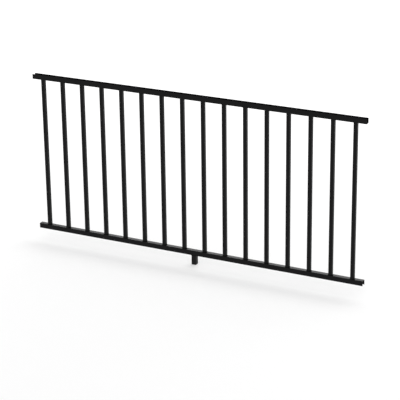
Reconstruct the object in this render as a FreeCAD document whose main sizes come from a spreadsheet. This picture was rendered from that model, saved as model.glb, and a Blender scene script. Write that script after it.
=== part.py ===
import FreeCAD, Part
import os
import Sketcher

# Deck railing section: a welded steel panel 1829 mm long, in millimetres, +Z up.
# X runs along the rails, -Y is the front, and the origin is the centre of the foot's underside.

# Driving dimensions
SIZES = {
    "balusterCount": 16,  # the bars between the rails
    "balusterPitch": 114.3,  # 4 1/2 in from one bar's middle to the next
    "balusterWidth": 19.05,  # 3/4 in square tube
    "balusterWall": 1.2,
    "balusterCorner": 2.0,  # outside corner radius
    "panelHeight": 844.55,  # 33 1/4 in over both rails
    "railWidth": 25.4,  # 1 in wide and 1 in deep channel
    "railWall": 1.2,
    "railBend": 1.5,  # outside radius of the folded corners
    "footHeight": 50.8,  # 2 in from the floor to the bottom rail
    "footWidth": 25.4,  # 1 in square tube
    "footWall": 1.6,
    "footCorner": 2.2,
    "capHead": 2.0,  # thickness of the glide under the foot
    "capEdge": 1.2,  # rounding along the glide's lower edges
    "capDepth": 12.0,  # how far the glide's stub reaches above its head
    "capWall": 1.5,
    "capGap": 0.1,  # between the stub and the tube around it
}
HALF_TURN = 180  # degrees
CLOSE = 0.01  # two places this near each other, in mm, count as one

doc = FreeCAD.newDocument("deck_railing_section")
sheet = doc.addObject("Spreadsheet::Sheet", "Sizes")
for row, (alias, value) in enumerate(SIZES.items(), start=1):
    sheet.set(f"A{row}", alias)
    sheet.set(f"B{row}", str(value))
    sheet.setAlias(f"B{row}", alias)
doc.recompute()

# Sizes that follow from the driving ones, as expressions on the sheet
RAIL_LENGTH = "Sizes.balusterCount * Sizes.balusterPitch"
BALUSTER_LENGTH = "Sizes.panelHeight - 2 * Sizes.railWidth"
BALUSTER_BOTTOM = "Sizes.footHeight + Sizes.railWidth"
TOP_RAIL_BOTTOM = "Sizes.footHeight + Sizes.panelHeight - Sizes.railWidth"


def newBody(name):
    body = doc.addObject("PartDesign::Body", name)
    body.Label = name
    return body


def newSketch(body, role, name):
    # A sketch on one of the body's own origin planes
    sketch = body.newObject("Sketcher::SketchObject", name)
    plane = next(item for item in body.Origin.OriginFeatures if item.Role == role)
    sketch.AttachmentSupport = [(plane, "")]
    sketch.MapMode = "FlatFace"
    return sketch


def drawOutline(sketch, corners):
    # Straight lines round the corners, each one level or upright; returns the first line's number
    first = sketch.GeometryCount
    count = len(corners)
    for i, start in enumerate(corners):
        end = corners[(i + 1) % count]
        line = Part.LineSegment(FreeCAD.Vector(*start, 0), FreeCAD.Vector(*end, 0))
        sketch.addGeometry(line, False)
    for i, start in enumerate(corners):
        end = corners[(i + 1) % count]
        level = "Horizontal" if start[1] == end[1] else "Vertical"
        sketch.addConstraint(Sketcher.Constraint(level, first + i))
        sketch.addConstraint(
            Sketcher.Constraint("Coincident", first + i, 2, first + (i + 1) % count, 1)
        )
    return first


def holdSize(sketch, name, kind, ends, value, expression):
    # One dimension between two points, bound to the sheet
    number = sketch.addConstraint(Sketcher.Constraint(kind, *ends, value))
    sketch.renameConstraint(number, name)
    sketch.setExpression(f"Constraints.{name}", expression)


def drawSquare(sketch, name, width, expression):
    # A square about the sketch's origin
    half = width / 2
    first = drawOutline(sketch, [(-half, -half), (half, -half), (half, half), (-half, half)])
    sketch.addConstraint(Sketcher.Constraint("Symmetric", first, 1, first + 2, 1, -1, 1))
    across = (first, 1, first, 2)
    upward = (first + 1, 1, first + 1, 2)
    holdSize(sketch, f"{name}Across", "DistanceX", across, width, expression)
    holdSize(sketch, f"{name}Upward", "DistanceY", upward, width, expression)


def newPad(body, sketch, name, expression):
    pad = body.newObject("PartDesign::Pad", name)
    pad.Profile = sketch
    pad.setExpression("Length", expression)
    sketch.Visibility = False
    doc.recompute()
    return pad


def roundEdges(body, name, picked, expression):
    # Rounds the edges of the body's last feature whose middle point the picking function accepts
    base = body.Tip
    names = []
    for number, edge in enumerate(base.Shape.Edges, start=1):
        if picked(edge.CenterOfMass):
            names.append(f"Edge{number}")
    fillet = body.newObject("PartDesign::Fillet", name)
    fillet.Base = (base, names)
    fillet.setExpression("Radius", expression)
    doc.recompute()
    return fillet


def near(value, target):
    return abs(value - target) < CLOSE


def makeTube(name, kind, length):
    # A square tube standing on its own XY plane; kind is the sheet's prefix, such as foot
    width = SIZES[f"{kind}Width"]
    bore = width - 2 * SIZES[f"{kind}Wall"]
    body = newBody(name)
    sketch = newSketch(body, "XY_Plane", f"{name}_section")
    drawSquare(sketch, "outside", width, f"Sizes.{kind}Width")
    drawSquare(sketch, "bore", bore, f"Sizes.{kind}Width - 2 * Sizes.{kind}Wall")
    newPad(body, sketch, f"{name}_tube", length)
    roundEdges(
        body,
        f"{name}_outer_corners",
        lambda at: near(abs(at.x), width / 2) and near(abs(at.y), width / 2),
        f"Sizes.{kind}Corner",
    )
    roundEdges(
        body,
        f"{name}_inner_corners",
        lambda at: near(abs(at.x), bore / 2) and near(abs(at.y), bore / 2),
        f"Sizes.{kind}Corner - Sizes.{kind}Wall",
    )
    return body


def makeChannel(name):
    # A folded channel along +X: its web lies on the XY plane and its walls stand up from it
    width = SIZES["railWidth"]
    wall = SIZES["railWall"]
    half = width / 2
    inner = half - wall
    body = newBody(name)
    sketch = newSketch(body, "YZ_Plane", f"{name}_section")
    # The lines in order: under the web, then a wall's outside, rim and inside, the web's top, the other wall
    drawOutline(
        sketch,
        [
            (-half, 0),
            (half, 0),
            (half, width),
            (inner, width),
            (inner, wall),
            (-inner, wall),
            (-inner, width),
            (-half, width),
        ],
    )
    sketch.addConstraint(Sketcher.Constraint("Symmetric", 0, 1, 0, 2, -1, 1))
    sketch.addConstraint(Sketcher.Constraint("Equal", 2, 6))
    sketch.addConstraint(Sketcher.Constraint("Equal", 1, 7))
    holdSize(sketch, "webAcross", "DistanceX", (0, 1, 0, 2), width, "Sizes.railWidth")
    holdSize(sketch, "wallUpward", "DistanceY", (1, 1, 1, 2), width, "Sizes.railWidth")
    holdSize(sketch, "wallThick", "DistanceX", (2, 2, 2, 1), wall, "Sizes.railWall")
    holdSize(sketch, "webThick", "DistanceY", (1, 1, 4, 1), wall, "Sizes.railWall")
    newPad(body, sketch, f"{name}_channel", RAIL_LENGTH)
    roundEdges(
        body,
        f"{name}_outer_bends",
        lambda at: near(abs(at.y), half) and near(at.z, 0),
        "Sizes.railBend",
    )
    roundEdges(
        body,
        f"{name}_inner_bends",
        lambda at: near(abs(at.y), inner) and near(at.z, wall),
        "Sizes.railBend - Sizes.railWall",
    )
    return body


def makeTopRail():
    # Opens upward, for the cap rail that goes over it
    rail = makeChannel("top_rail")
    rail.setExpression(".Placement.Base.x", f"-({RAIL_LENGTH}) / 2")
    rail.setExpression(".Placement.Base.z", TOP_RAIL_BOTTOM)
    return rail


def makeBottomRail():
    # The same channel turned over, so its web is on top and it sheds water
    rail = makeChannel("bottom_rail")
    over = FreeCAD.Rotation(FreeCAD.Vector(1, 0, 0), HALF_TURN)
    rail.Placement = FreeCAD.Placement(FreeCAD.Vector(0, 0, 0), over)
    rail.setExpression(".Placement.Base.x", f"-({RAIL_LENGTH}) / 2")
    rail.setExpression(".Placement.Base.z", BALUSTER_BOTTOM)
    return rail


def makeBalusters():
    # Square bars from web to web, the outer two half a pitch in from the rails' ends
    bars = []
    for number in range(SIZES["balusterCount"]):
        bar = makeTube(f"baluster_{number + 1:02d}", "baluster", BALUSTER_LENGTH)
        along = f"({number} + 0.5 - Sizes.balusterCount / 2) * Sizes.balusterPitch"
        bar.setExpression(".Placement.Base.x", along)
        bar.setExpression(".Placement.Base.z", BALUSTER_BOTTOM)
        bars.append(bar)
    return bars


def makeFoot():
    # Stub of square tube under the middle of the bottom rail, as wide as the rail
    foot = makeTube("support_foot", "foot", "Sizes.footHeight - Sizes.capHead")
    foot.setExpression(".Placement.Base.z", "Sizes.capHead")
    return foot


def makeFootCap():
    # Plastic glide: a flat head that closes the foot's lower end, and a hollow stub inside the tube
    width = SIZES["footWidth"]
    stub = width - 2 * (SIZES["footWall"] + SIZES["capGap"])
    stubSize = "Sizes.footWidth - 2 * (Sizes.footWall + Sizes.capGap)"
    body = newBody("foot_cap")
    head = newSketch(body, "XY_Plane", "foot_cap_head_section")
    drawSquare(head, "outside", width, "Sizes.footWidth")
    newPad(body, head, "foot_cap_head", "Sizes.capHead")
    roundEdges(
        body,
        "foot_cap_head_corners",
        lambda at: near(abs(at.x), width / 2) and near(abs(at.y), width / 2),
        "Sizes.footCorner",
    )
    roundEdges(body, "foot_cap_lower_edges", lambda at: near(at.z, 0), "Sizes.capEdge")
    ring = newSketch(body, "XY_Plane", "foot_cap_stub_section")
    drawSquare(ring, "outside", stub, stubSize)
    drawSquare(ring, "bore", stub - 2 * SIZES["capWall"], f"{stubSize} - 2 * Sizes.capWall")
    newPad(body, ring, "foot_cap_stub", "Sizes.capHead + Sizes.capDepth")
    roundEdges(
        body,
        "foot_cap_stub_corners",
        lambda at: near(abs(at.x), stub / 2) and near(abs(at.y), stub / 2),
        "Sizes.footCorner - Sizes.footWall",
    )
    return body


def checkParts(parts):
    # Every feature is up to date and every sub-part is one whole, valid solid
    for item in doc.Objects:
        if "Invalid" in item.State or "Error" in item.State:
            raise RuntimeError(f"{item.Label} is {item.State}")
    for item in parts:
        shape = item.Shape
        if shape.isNull() or not shape.isValid() or len(shape.Solids) != 1:
            raise RuntimeError(f"{item.Label} has no single valid solid")


parts = [makeTopRail(), makeBottomRail()] + makeBalusters() + [makeFoot(), makeFootCap()]
doc.recompute()
checkParts(parts)

os.makedirs("parts", exist_ok=True)
for item in parts:
    item.Shape.exportStep(f"parts/{item.Label}.step")
    box = item.Shape.BoundBox
    low = f"{box.XMin:.2f}, {box.YMin:.2f}, {box.ZMin:.2f}"
    high = f"{box.XMax:.2f}, {box.YMax:.2f}, {box.ZMax:.2f}"
    print(f"{item.Label}: {low} to {high}, {item.Shape.Volume:.0f} mm3")
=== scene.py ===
import math
import random

import bmesh
import bpy
from mathutils import Matrix, Vector


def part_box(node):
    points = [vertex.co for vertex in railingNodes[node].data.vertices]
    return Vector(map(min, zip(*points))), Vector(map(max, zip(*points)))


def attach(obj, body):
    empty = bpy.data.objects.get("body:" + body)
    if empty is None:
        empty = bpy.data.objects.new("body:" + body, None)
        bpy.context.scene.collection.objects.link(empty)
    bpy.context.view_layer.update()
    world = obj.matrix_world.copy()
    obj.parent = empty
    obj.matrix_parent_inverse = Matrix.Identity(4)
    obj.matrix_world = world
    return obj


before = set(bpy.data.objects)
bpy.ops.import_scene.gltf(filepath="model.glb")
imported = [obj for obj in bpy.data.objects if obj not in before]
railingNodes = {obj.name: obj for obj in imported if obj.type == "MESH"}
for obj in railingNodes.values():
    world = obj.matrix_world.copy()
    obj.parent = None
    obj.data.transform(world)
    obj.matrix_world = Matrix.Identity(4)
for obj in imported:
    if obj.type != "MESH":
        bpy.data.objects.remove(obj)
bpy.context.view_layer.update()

scene = bpy.context.scene
barNames = sorted(name for name in railingNodes if name.startswith("baluster_"))
print(f"Frame loaded: {len(railingNodes)} CAD nodes, {len(barNames)} of them balusters")


# Small helpers for node trees and meshes

def addNode(tree, kind, spot, links=None, **settings):
    # links gives a socket of another node, or a plain value, for each input by name or number
    node = tree.nodes.new(kind)
    node.location = spot
    for setting, value in settings.items():
        setattr(node, setting, value)
    for socket, value in (links or {}).items():
        if isinstance(value, bpy.types.NodeSocket):
            tree.links.new(value, node.inputs[socket])
        else:
            node.inputs[socket].default_value = value
    return node


def newGroup(name, inputs, outputs):
    group = bpy.data.node_groups.new(name, "ShaderNodeTree")
    for label, kind, value in inputs:
        socket = group.interface.new_socket(label, in_out="INPUT", socket_type=kind)
        if value is not None:
            socket.default_value = value
    for label, kind in outputs:
        group.interface.new_socket(label, in_out="OUTPUT", socket_type=kind)
    return group


def useGroup(tree, group, spot, links=None):
    return addNode(tree, "ShaderNodeGroup", spot, links, node_tree=group)


def finishMesh(name, bm, material):
    # Turns a bmesh into an object whose own place is the origin
    mesh = bpy.data.meshes.new(name)
    bm.to_mesh(mesh)
    bm.free()
    mesh.materials.append(material)
    piece = bpy.data.objects.new(name, mesh)
    scene.collection.objects.link(piece)
    return piece


# Camera, fitted to the edges of the rails and bars in the photograph

photoCamera = {
    "place": (3.46389, -6.71549, 3.17387),
    "turn": 27.0545,  # degrees to the left of straight ahead
    "tilt": 20.5181,  # degrees down
    "roll": -0.7244,
    "lens": 145.010,  # mm on a sensor 36 mm wide
    "sensor": 36.0,
    "reach": 100.0,  # how far it sees
}


def makeCamera(values):
    data = bpy.data.cameras.new("photo_camera")
    data.lens = values["lens"]
    data.sensor_width = values["sensor"]
    data.clip_end = values["reach"]
    camera = bpy.data.objects.new("photo_camera", data)
    turn = Matrix.Rotation(math.radians(values["turn"]), 4, "Z")
    tilt = Matrix.Rotation(math.radians(90.0 - values["tilt"]), 4, "X")
    roll = Matrix.Rotation(math.radians(values["roll"]), 4, "Z")
    camera.matrix_world = Matrix.Translation(values["place"]) @ turn @ tilt @ roll
    scene.collection.objects.link(camera)
    scene.camera = camera


makeCamera(photoCamera)
print("Camera in place")


# Plain white studio: world, floor and one soft lamp

studio = {
    "worldStrength": 0.95,  # what the surroundings give as light
    "floorSize": 60.0,
    "floorBack": 7.0,  # where it ends behind the panel, because past the lamp it would lie in the dark
    "floorBounce": 0.8,  # the floor as the object's underside sees it
    "floorSeen": 0.62,  # the lit floor as the camera and the gloss see it
    "floorLift": 0.312,  # white on top of that, so its shadow stays faint
}
backSoftbox = {
    "rise": 24.6,  # degrees above the floor, behind the panel
    "distance": 8.0,
    "size": (12.0, 2.4),
    "power": 560.0,
}


def makeWorld(values):
    # Lights softly from all round, and is plain white where the camera or a reflection sees it
    world = bpy.data.worlds.new("studio_world")
    world.use_nodes = True
    tree = world.node_tree
    tree.nodes.clear()
    path = addNode(tree, "ShaderNodeLightPath", (-600, 200))
    seen = addNode(
        tree, "ShaderNodeMath", (-400, 200),
        {0: path.outputs["Is Camera Ray"], 1: path.outputs["Is Glossy Ray"]}, operation="MAXIMUM",
    )
    seenAny = addNode(
        tree, "ShaderNodeMath", (-220, 200),
        {0: seen.outputs[0], 1: path.outputs["Is Transmission Ray"]}, operation="MAXIMUM",
    )
    light = addNode(
        tree, "ShaderNodeBackground", (-220, 0),
        {"Color": (1.0, 1.0, 1.0, 1.0), "Strength": values["worldStrength"]},
    )
    white = addNode(
        tree, "ShaderNodeBackground", (-220, -120), {"Color": (1.0, 1.0, 1.0, 1.0), "Strength": 1.0}
    )
    mix = addNode(
        tree, "ShaderNodeMixShader", (0, 100),
        {0: seenAny.outputs[0], 1: light.outputs[0], 2: white.outputs[0]},
    )
    addNode(tree, "ShaderNodeOutputWorld", (200, 100), {"Surface": mix.outputs[0]})
    scene.world = world


def makeFloor(values):
    # Diffuse, so it takes the shadow. The camera and the gloss see it lifted to white.
    # From below it is clear.
    material = bpy.data.materials.new("studio_floor")
    material.use_nodes = True
    tree = material.node_tree
    tree.nodes.clear()
    path = addNode(tree, "ShaderNodeLightPath", (-800, 300))
    seen = addNode(
        tree, "ShaderNodeMath", (-600, 300),
        {0: path.outputs["Is Camera Ray"], 1: path.outputs["Is Glossy Ray"]}, operation="MAXIMUM",
    )
    seenAny = addNode(
        tree, "ShaderNodeMath", (-420, 300),
        {0: seen.outputs[0], 1: path.outputs["Is Transmission Ray"]}, operation="MAXIMUM",
    )
    lift = addNode(
        tree, "ShaderNodeMath", (-240, 300),
        {0: seenAny.outputs[0], 1: values["floorLift"]}, operation="MULTIPLY",
    )
    glow = addNode(
        tree, "ShaderNodeEmission", (-60, 300),
        {"Color": (1.0, 1.0, 1.0, 1.0), "Strength": lift.outputs[0]},
    )
    shade = addNode(
        tree, "ShaderNodeMix", (-240, 120),
        {0: seenAny.outputs[0], 2: values["floorBounce"], 3: values["floorSeen"]}, data_type="FLOAT",
    )
    lit = addNode(tree, "ShaderNodeBsdfDiffuse", (-60, 150), {"Color": shade.outputs[0]})
    both = addNode(tree, "ShaderNodeAddShader", (140, 220), {0: lit.outputs[0], 1: glow.outputs[0]})
    side = addNode(tree, "ShaderNodeNewGeometry", (-60, 0))
    clear = addNode(tree, "ShaderNodeBsdfTransparent", (140, 60))
    mix = addNode(
        tree, "ShaderNodeMixShader", (340, 180),
        {0: side.outputs["Backfacing"], 1: both.outputs[0], 2: clear.outputs[0]},
    )
    addNode(tree, "ShaderNodeOutputMaterial", (540, 180), {"Surface": mix.outputs[0]})
    bm = bmesh.new()
    half = values["floorSize"] / 2
    bmesh.ops.create_grid(bm, x_segments=1, y_segments=1, size=half)
    bmesh.ops.translate(bm, vec=(0.0, values["floorBack"] - half, 0.0), verts=bm.verts)
    floor = finishMesh("studio_floor", bm, material)


def makeSoftbox(name, values):
    # Aimed at the foot, so the panel's shadow falls just in front of it
    data = bpy.data.lights.new(name, "AREA")
    data.shape = "RECTANGLE"
    data.size, data.size_y = values["size"]
    data.energy = values["power"]
    lamp = bpy.data.objects.new(name, data)
    rise = math.radians(values["rise"])
    lamp.location = Vector((0.0, math.cos(rise), math.sin(rise))) * values["distance"]
    lamp.rotation_euler = (-lamp.location).to_track_quat("-Z", "Y").to_euler()
    scene.collection.objects.link(lamp)


makeWorld(studio)
makeFloor(studio)
makeSoftbox("back_softbox", backSoftbox)
scene.view_settings.view_transform = "Standard"
print("Studio in place")


# Surface effects shared by the coat and the plastic

def makeGrainGroup():
    # Fine grain over slow waves, as a height from 0 to 1
    group = newGroup(
        "surface_grain",
        [
            ("Place", "NodeSocketVector", None),
            ("Grain Size", "NodeSocketFloat", 0.0004),
            ("Wave Size", "NodeSocketFloat", 0.003),
            ("Wave Share", "NodeSocketFloat", 0.6),
        ],
        [("Height", "NodeSocketFloat")],
    )
    start = addNode(group, "NodeGroupInput", (-900, 0))
    fineScale = addNode(
        group, "ShaderNodeMath", (-700, 160), {0: 1.0, 1: start.outputs["Grain Size"]}, operation="DIVIDE"
    )
    waveScale = addNode(
        group, "ShaderNodeMath", (-700, -60), {0: 1.0, 1: start.outputs["Wave Size"]}, operation="DIVIDE"
    )
    fine = addNode(
        group, "ShaderNodeTexNoise", (-500, 200),
        {"Vector": start.outputs["Place"], "Scale": fineScale.outputs[0], "Detail": 2.0, "Roughness": 0.55},
    )
    wave = addNode(
        group, "ShaderNodeTexNoise", (-500, -60),
        {"Vector": start.outputs["Place"], "Scale": waveScale.outputs[0], "Detail": 1.0, "Roughness": 0.4},
    )
    height = addNode(
        group, "ShaderNodeMix", (-260, 80),
        {0: start.outputs["Wave Share"], 2: fine.outputs[0], 3: wave.outputs[0]}, data_type="FLOAT",
    )
    addNode(group, "NodeGroupOutput", (0, 80), {"Height": height.outputs[0]})
    return group


def makePatchGroup():
    # Slow unevenness over a whole bar or rail, from 0 to 1 about a half
    group = newGroup(
        "uneven_patches",
        [
            ("Place", "NodeSocketVector", None),
            ("Patch Size", "NodeSocketFloat", 0.08),
            ("Contrast", "NodeSocketFloat", 1.0),
        ],
        [("Value", "NodeSocketFloat")],
    )
    start = addNode(group, "NodeGroupInput", (-900, 0))
    scale = addNode(
        group, "ShaderNodeMath", (-700, 100), {0: 1.0, 1: start.outputs["Patch Size"]}, operation="DIVIDE"
    )
    noise = addNode(
        group, "ShaderNodeTexNoise", (-500, 60),
        {"Vector": start.outputs["Place"], "Scale": scale.outputs[0], "Detail": 3.0, "Roughness": 0.6},
    )
    centred = addNode(
        group, "ShaderNodeMath", (-300, 60), {0: noise.outputs[0], 1: 0.5}, operation="SUBTRACT"
    )
    spread = addNode(
        group, "ShaderNodeMath", (-120, 60),
        {0: centred.outputs[0], 1: start.outputs["Contrast"], 2: 0.5},
        operation="MULTIPLY_ADD", use_clamp=True,
    )
    addNode(group, "NodeGroupOutput", (60, 60), {"Value": spread.outputs[0]})
    return group


flatFacing = 0.99  # how alike the rounded and the real normal are where no edge is near
sharpFacing = 0.82  # and at a sharp edge
wornNoise = (0.38, 0.66)  # the noise from where an edge is least worn to where it is most worn
leastWorn = 0.35  # how much of the wear is left where it is least


def makeEdgeGroup():
    # Rounds sharp edges for the light, and gives a broken mask along them
    group = newGroup(
        "edge_wear",
        [
            ("Place", "NodeSocketVector", None),
            ("Radius", "NodeSocketFloat", 0.0006),
            ("Break Size", "NodeSocketFloat", 0.006),
        ],
        [("Mask", "NodeSocketFloat"), ("Normal", "NodeSocketVector")],
    )
    start = addNode(group, "NodeGroupInput", (-900, 0))
    soft = addNode(group, "ShaderNodeBevel", (-680, 160), {"Radius": start.outputs["Radius"]}, samples=6)
    real = addNode(group, "ShaderNodeNewGeometry", (-680, -40))
    facing = addNode(
        group, "ShaderNodeVectorMath", (-460, 100),
        {0: soft.outputs[0], 1: real.outputs["Normal"]}, operation="DOT_PRODUCT",
    )
    edge = addNode(
        group, "ShaderNodeMapRange", (-260, 100),
        {
            "Value": facing.outputs["Value"], "From Min": flatFacing, "From Max": sharpFacing,
            "To Min": 0.0, "To Max": 1.0,
        },
    )
    scale = addNode(
        group, "ShaderNodeMath", (-680, -260), {0: 1.0, 1: start.outputs["Break Size"]}, operation="DIVIDE"
    )
    broken = addNode(
        group, "ShaderNodeTexNoise", (-460, -200),
        {"Vector": start.outputs["Place"], "Scale": scale.outputs[0], "Detail": 3.0, "Roughness": 0.65},
    )
    patchy = addNode(
        group, "ShaderNodeMapRange", (-260, -200),
        {
            "Value": broken.outputs[0], "From Min": wornNoise[0], "From Max": wornNoise[1],
            "To Min": leastWorn, "To Max": 1.0,
        },
    )
    mask = addNode(
        group, "ShaderNodeMath", (-60, 0),
        {0: edge.outputs[0], 1: patchy.outputs[0]}, operation="MULTIPLY", use_clamp=True,
    )
    addNode(group, "NodeGroupOutput", (140, 60), {"Mask": mask.outputs[0], "Normal": soft.outputs[0]})
    return group


def makeLevelGroup():
    # 1 at one height, falling to 0 within the reach above and below it
    group = newGroup(
        "near_level",
        [
            ("Place", "NodeSocketVector", None),
            ("Level", "NodeSocketFloat", 0.0),
            ("Reach", "NodeSocketFloat", 0.004),
        ],
        [("Mask", "NodeSocketFloat")],
    )
    start = addNode(group, "NodeGroupInput", (-700, 0))
    parts = addNode(group, "ShaderNodeSeparateXYZ", (-500, 60), {0: start.outputs["Place"]})
    offset = addNode(
        group, "ShaderNodeMath", (-320, 40),
        {0: parts.outputs["Z"], 1: start.outputs["Level"]}, operation="SUBTRACT",
    )
    gap = addNode(group, "ShaderNodeMath", (-140, 40), {0: offset.outputs[0]}, operation="ABSOLUTE")
    mask = addNode(
        group, "ShaderNodeMapRange", (40, 0),
        {"Value": gap.outputs[0], "From Min": start.outputs["Reach"], "From Max": 0.0},
        interpolation_type="SMOOTHSTEP",
    )
    addNode(group, "NodeGroupOutput", (240, 0), {"Mask": mask.outputs[0]})
    return group


def makeBesideGroup():
    # 1 under a bar, falling to 0 within the reach beside it, for bars at an even pitch
    group = newGroup(
        "beside_bars",
        [
            ("Place", "NodeSocketVector", None),
            ("First Bar", "NodeSocketFloat", 0.0),
            ("Pitch", "NodeSocketFloat", 0.1),
            ("Half Width", "NodeSocketFloat", 0.01),
            ("Reach", "NodeSocketFloat", 0.004),
        ],
        [("Mask", "NodeSocketFloat")],
    )
    start = addNode(group, "NodeGroupInput", (-900, 0))
    parts = addNode(group, "ShaderNodeSeparateXYZ", (-700, 100), {0: start.outputs["Place"]})
    along = addNode(
        group, "ShaderNodeMath", (-500, 100),
        {0: parts.outputs["X"], 1: start.outputs["First Bar"]}, operation="SUBTRACT",
    )
    halfPitch = addNode(
        group, "ShaderNodeMath", (-500, -80), {0: start.outputs["Pitch"], 1: 0.5}, operation="MULTIPLY"
    )
    fromMiddle = addNode(
        group, "ShaderNodeMath", (-320, 60),
        {0: along.outputs[0], 1: halfPitch.outputs[0]}, operation="PINGPONG",
    )
    past = addNode(
        group, "ShaderNodeMath", (-140, 60),
        {0: fromMiddle.outputs[0], 1: start.outputs["Half Width"]}, operation="SUBTRACT",
    )
    mask = addNode(
        group, "ShaderNodeMapRange", (40, 60),
        {"Value": past.outputs[0], "From Min": start.outputs["Reach"], "From Max": 0.0},
        interpolation_type="SMOOTHSTEP",
    )
    addNode(group, "NodeGroupOutput", (240, 60), {"Mask": mask.outputs[0]})
    return group


grainGroup = makeGrainGroup()
patchGroup = makePatchGroup()
edgeGroup = makeEdgeGroup()
levelGroup = makeLevelGroup()
besideGroup = makeBesideGroup()
print("Surface effects ready")


# Finishes

railCoat = {  # satin black powder coat on the folded channels
    "color": (0.0062, 0.0062, 0.0065),
    "patchColor": (0.0078, 0.0078, 0.0080),
    "edgeColor": (0.0090, 0.0090, 0.0092),
    "rough": (0.43, 0.49),
    "edgeRough": 0.46,
    "gloss": 0.082,
    "grain": 0.0004,
    "wave": 0.0026,
    "waveShare": 0.62,
    "depth": 0.00004,
    "patch": 0.09,
    "patchContrast": 1.6,
    "edge": 0.0003,
    "jointShadeColor": (0.0020, 0.0020, 0.0021),  # painted shade beside the lower welds, darker than the coat
    "jointRough": 0.75,
    "jointReach": 0.0045,
    "webReach": 0.0012,  # keeps a rail's painted shade and rougher spots on its web
    "rimShadeColor": (0.0020, 0.0020, 0.0021),  # painted shade on a channel's cut rims, darker than the coat
    "rimRough": 0.95,
    "rimReach": 0.0005,
}
barCoat = dict(
    railCoat, wave=0.0021, patch=0.06, edge=0.0006, edgeColor=(0.0110, 0.0110, 0.0112), edgeRough=0.42
)
# the same coat on the foot, painted lighter as light bounced from the floor
footLitCoat = dict(barCoat, color=(0.0098, 0.0098, 0.0100), patchColor=(0.0114, 0.0114, 0.0116), patch=0.03)
topBeadCoat = dict(barCoat, grain=0.0003, wave=0.0012, patch=0.01, depth=0.00005)
# the lower beads and the foot's tacks: the same coat painted darker, as shade where the bars and the foot
# meet the rails, and rougher and less glossy
lowBeadShadeCoat = dict(
    topBeadCoat, color=(0.0019, 0.0019, 0.0020), patchColor=(0.0026, 0.0026, 0.0027),
    edgeColor=(0.0060, 0.0060, 0.0061), rough=(0.68, 0.78), edgeRough=0.62, gloss=0.045,
)
capPlastic = {  # moulded black plastic with a fine etched grain
    "color": (0.0085, 0.0085, 0.0088),
    "patchColor": (0.0105, 0.0105, 0.0108),
    "edgeColor": (0.0190, 0.0190, 0.0190),
    "rough": (0.58, 0.66),
    "edgeRough": 0.5,
    "gloss": 0.15,
    "grain": 0.00025,
    "wave": 0.0011,
    "waveShare": 0.35,
    "depth": 0.00006,
    "patch": 0.012,
    "patchContrast": 1.6,
    "edge": 0.0004,
}


def addJointShadeMask(tree, at, values, level, besideBars):
    # Where painted shade and a rougher coat go: near the height of a weld, and on a rail only close to a
    # bar
    reach = values["webReach"] if besideBars else values["jointReach"]
    near = useGroup(tree, levelGroup, (-1060, -520), {"Place": at, "Level": level, "Reach": reach})
    if not besideBars:
        return near.outputs["Mask"]
    beside = useGroup(
        tree, besideGroup, (-1060, -760),
        {
            "Place": at, "First Bar": firstBar, "Pitch": barPitch, "Half Width": barHalf,
            "Reach": values["jointReach"],
        },
    )
    both = addNode(
        tree, "ShaderNodeMath", (-860, -600),
        {0: near.outputs["Mask"], 1: beside.outputs["Mask"]}, operation="MULTIPLY",
    )
    return both.outputs[0]


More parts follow.
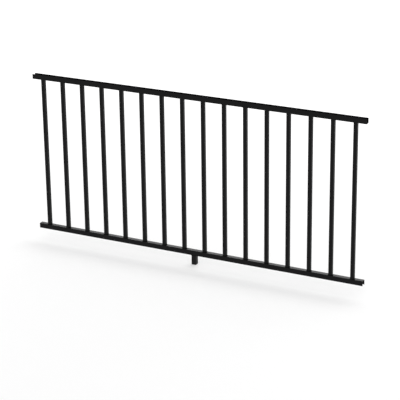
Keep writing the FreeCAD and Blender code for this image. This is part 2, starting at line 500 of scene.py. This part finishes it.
def makeFinish(name, values, level=None, besideBars=False, rims=()):
    # One dark finish: slow changes of shade and gloss, grain in the relief, and paler, smoother edges.
    # level is the height of the welds, near which it gets painted shade and a rougher coat, and besideBars
    # keeps that to the bars' places.
    # rims are the heights of a channel's cut rims, where it gets painted shade and a rougher coat.
    material = bpy.data.materials.new(name)
    material.use_nodes = True
    tree = material.node_tree
    tree.nodes.clear()
    place = addNode(tree, "ShaderNodeTexCoord", (-1300, 0))
    at = place.outputs["Object"]
    grain = useGroup(
        tree, grainGroup, (-1060, -260),
        {
            "Place": at, "Grain Size": values["grain"], "Wave Size": values["wave"],
            "Wave Share": values["waveShare"],
        },
    )
    patches = useGroup(
        tree, patchGroup, (-1060, 240),
        {"Place": at, "Patch Size": values["patch"], "Contrast": values["patchContrast"]},
    )
    edges = useGroup(tree, edgeGroup, (-1060, 0), {"Place": at, "Radius": values["edge"]})
    color = addNode(
        tree, "ShaderNodeMix", (-780, 380),
        {0: patches.outputs["Value"], 6: (*values["color"], 1.0), 7: (*values["patchColor"], 1.0)},
        data_type="RGBA",
    )
    smooth, dull = values["rough"]
    rough = addNode(
        tree, "ShaderNodeMapRange", (-780, 120),
        {"Value": patches.outputs["Value"], "To Min": smooth, "To Max": dull},
    )
    changes = [(edges.outputs["Mask"], values["edgeColor"], values["edgeRough"])]
    if level is not None:
        # painted shade near the welds: a darker colour, with a rougher coat
        joint = addJointShadeMask(tree, at, values, level, besideBars)
        changes.append((joint, values["jointShadeColor"], values["jointRough"]))
    # painted shade along the cut rims: a darker colour, with a rougher coat
    for number, rim in enumerate(rims):
        cut = useGroup(
            tree, levelGroup, (-860, -800 - 160 * number),
            {"Place": at, "Level": rim, "Reach": values["rimReach"]},
        )
        changes.append((cut.outputs["Mask"], values["rimShadeColor"], values["rimRough"]))
    for number, (mask, newColor, newRough) in enumerate(changes):
        across = -600 + 160 * number
        color = addNode(
            tree, "ShaderNodeMix", (across, 380),
            {0: mask, 6: color.outputs[2], 7: (*newColor, 1.0)}, data_type="RGBA",
        )
        rough = addNode(
            tree, "ShaderNodeMix", (across, 120),
            {0: mask, 2: rough.outputs[0], 3: newRough}, data_type="FLOAT",
        )
    relief = addNode(
        tree, "ShaderNodeBump", (-560, -160),
        {
            "Height": grain.outputs["Height"], "Normal": edges.outputs["Normal"],
            "Strength": 1.0, "Distance": values["depth"],  # full strength, so the depth is as written
        },
    )
    coat = addNode(
        tree, "ShaderNodeBsdfPrincipled", (-280, 160),
        {
            "Base Color": color.outputs[2], "Roughness": rough.outputs[0], "Normal": relief.outputs[0],
            "Specular IOR Level": values["gloss"], "IOR": 1.5,
        },
    )
    addNode(tree, "ShaderNodeOutputMaterial", (40, 160), {"Surface": coat.outputs[0]})
    return material


barLow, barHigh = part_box(barNames[0])
firstBar = (barLow.x + barHigh.x) / 2
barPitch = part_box(barNames[1])[0].x - barLow.x
barHalf = (barHigh.x - barLow.x) / 2
barBottom = barLow.z
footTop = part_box("support_foot")[1].z
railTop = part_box("top_rail")[1].z

finishes = {
    "rail": makeFinish("rail_powder_coat", railCoat, barBottom, besideBars=True, rims=(footTop, railTop)),
    "bar": makeFinish("bar_powder_coat", barCoat, barBottom),
    "foot": makeFinish("foot_painted_light_coat", footLitCoat, footTop),
    "lowBead": makeFinish("low_bead_painted_shade_coat", lowBeadShadeCoat),
    "topBead": makeFinish("top_bead_powder_coat", topBeadCoat),
    "cap": makeFinish("cap_moulded_plastic", capPlastic),
}


def finishNode(name, finish):
    for spot in railingNodes[name].material_slots:
        spot.material = finish


for name in ("top_rail", "bottom_rail"):
    finishNode(name, finishes["rail"])
for name in barNames:
    finishNode(name, finishes["bar"])
finishNode("support_foot", finishes["foot"])
finishNode("foot_cap", finishes["cap"])
print("Finishes on the CAD nodes")


# Weld beads where the bars and the foot meet the rails

lowRightBead = {
    "length": 0.0125,  # along the side of the bar
    "shift": -0.002,  # how far its middle lies behind the bar's
    "half": 0.0048,  # half of the bead's face, from bar to rail
    "crown": 0.0015,  # half of its thickness
    "lift": 0.0019,  # its middle, out from the corner
    "sunk": 0.0008,  # how deep it may reach into the walls, which are at least 1.2 mm thick
    "tip": 0.28,  # its size at the ends, against the middle's
    "endPower": 3.2,  # a higher power gives blunter ends
    "sides": 12,
    "ripples": 10,
    "ringsPerRipple": 4,
    "rippleDepth": 0.06,
    "lean": 0.0006,  # how far each ripple bulges along the bead
    "uneven": 0.03,  # how much a ring's size may differ from its neighbours'
    "wander": 0.0004,  # how far a bead may lie off its place
}
lowLeftBead = dict(lowRightBead, length=0.0100, shift=0.003, half=0.0035, lift=0.0016, ripples=8)
topBead = dict(lowRightBead, length=0.0145, shift=0.0013, half=0.0038, lift=0.0016)
footTack = dict(
    lowRightBead, length=0.0066, half=0.0036, crown=0.0017, lift=0.0018, endPower=7.0, ripples=4,
    inset=0.0007,  # from the foot's corner to the tack's end
)
lowSeed = 41
topSeed = 42
tackSeed = 17


def settleOrder(bm):
    # Extruding leaves edges and faces in another order in each run, so they are sorted by their corners
    bm.verts.index_update()
    count = len(bm.verts)

    def byCorners(item):
        numbers = [vert.index for vert in item.verts]
        return min(numbers) * count + max(numbers)

    bm.edges.sort(key=byCorners)
    bm.faces.sort(key=byCorners)


def addBead(whole, values, place, chance):
    # The bead runs along its own Y, in the corner between a bar on its left and a rail under it
    bm = bmesh.new()
    bmesh.ops.create_circle(bm, cap_ends=True, segments=values["sides"], radius=1.0)
    oval = Matrix.Diagonal((values["half"], values["crown"], 1.0, 1.0))
    upright = Matrix.Rotation(math.radians(-90.0), 4, "X")
    slope = Matrix.Rotation(math.radians(45.0), 4, "Y")
    bmesh.ops.transform(bm, matrix=slope @ upright @ oval, verts=bm.verts)
    out = Vector((1.0, 0.0, 1.0)).normalized()
    for vert in bm.verts:
        vert.co.y += values["lean"] * vert.co.dot(out) / values["crown"]
    middle = out * values["lift"]
    bmesh.ops.translate(bm, vec=middle - Vector((0.0, values["length"] / 2, 0.0)), verts=bm.verts)
    bm.faces.ensure_lookup_table()
    face = bm.faces[0]
    rings = values["ripples"] * values["ringsPerRipple"]
    step = values["length"] / rings
    size = 1.0
    for number in range(rings + 1):
        along = number / rings
        fromEnd = max(0.0, 1.0 - abs(2.0 * along - 1.0) ** values["endPower"])
        dome = math.sqrt(fromEnd) * (1.0 - values["tip"]) + values["tip"]
        ripple = 1.0 + values["rippleDepth"] * math.sin(math.tau * number / values["ringsPerRipple"])
        wanted = dome * ripple * chance.uniform(1.0 - values["uneven"], 1.0 + values["uneven"])
        if number > 0:
            grown = bmesh.ops.extrude_face_region(bm, geom=[face])["geom"]
            if number > 1:
                bmesh.ops.delete(bm, geom=[face], context="FACES_ONLY")  # it would stay inside the bead
            face = next(item for item in grown if isinstance(item, bmesh.types.BMFace))
            bmesh.ops.translate(bm, vec=(0.0, step, 0.0), verts=face.verts)
        factor = (wanted / size, 1.0, wanted / size)
        bmesh.ops.scale(bm, vec=factor, space=Matrix.Translation(-middle), verts=face.verts)
        size = wanted
    for vert in bm.verts:
        vert.co.x = max(vert.co.x, -values["sunk"])
        vert.co.z = max(vert.co.z, -values["sunk"])
    bmesh.ops.recalc_face_normals(bm, faces=bm.faces)
    bmesh.ops.transform(bm, matrix=place, verts=bm.verts)
    settleOrder(bm)
    part = bpy.data.meshes.new("one_bead")
    bm.to_mesh(part)
    bm.free()
    whole.from_mesh(part)
    bpy.data.meshes.remove(part)


def finishBeads(name, bm, finish):
    for face in bm.faces:
        face.smooth = True
    piece = finishMesh(name, bm, finish)
    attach(piece, "root")
    return piece


def cornerPlace(x, y, z, outward, upward):
    # Sets a bead in the corner at x, z; outward is +1 towards +X, upward +1 where the rail is under it
    if outward > 0:
        turn = Matrix.Identity(4) if upward > 0 else Matrix.Rotation(math.pi, 4, "X")
    else:
        turn = Matrix.Rotation(math.pi, 4, "Z" if upward > 0 else "Y")
    return Matrix.Translation((x, y, z)) @ turn


def makeBarBeads(name, leftValues, rightValues, upward, seed, finish):
    # One bead on each side of every bar.
    # The rail is under them where upward is 1, and over them where it is -1.
    chance = random.Random(seed)
    bm = bmesh.new()
    for bar in barNames:
        low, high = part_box(bar)
        level = low.z if upward > 0 else high.z
        for outward, side, values in ((-1, low.x, leftValues), (1, high.x, rightValues)):
            along = values["shift"] + chance.uniform(-values["wander"], values["wander"])
            addBead(bm, values, cornerPlace(side, along, level, outward, upward), chance)
    return finishBeads(name, bm, finish)


def makeFootTacks(name, values, seed, finish):
    # Short tacks under the rail's walls, at the front of the foot's left side and the back of its right
    chance = random.Random(seed)
    low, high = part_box("support_foot")
    inset = values["length"] / 2 + values["inset"]
    bm = bmesh.new()
    for outward, side, along in ((-1, low.x, low.y + inset), (1, high.x, high.y - inset)):
        addBead(bm, values, cornerPlace(side, along, high.z, outward, -1), chance)
    return finishBeads(name, bm, finish)


beadPieces = [
    makeBarBeads("bottom_weld_beads", lowLeftBead, lowRightBead, 1, lowSeed, finishes["lowBead"]),
    makeBarBeads("top_weld_beads", topBead, topBead, -1, topSeed, finishes["topBead"]),
    makeFootTacks("foot_weld_tacks", footTack, tackSeed, finishes["lowBead"]),
]
print("Weld beads:", sum(len(piece.data.polygons) for piece in beadPieces), "faces")


print("Scene built")
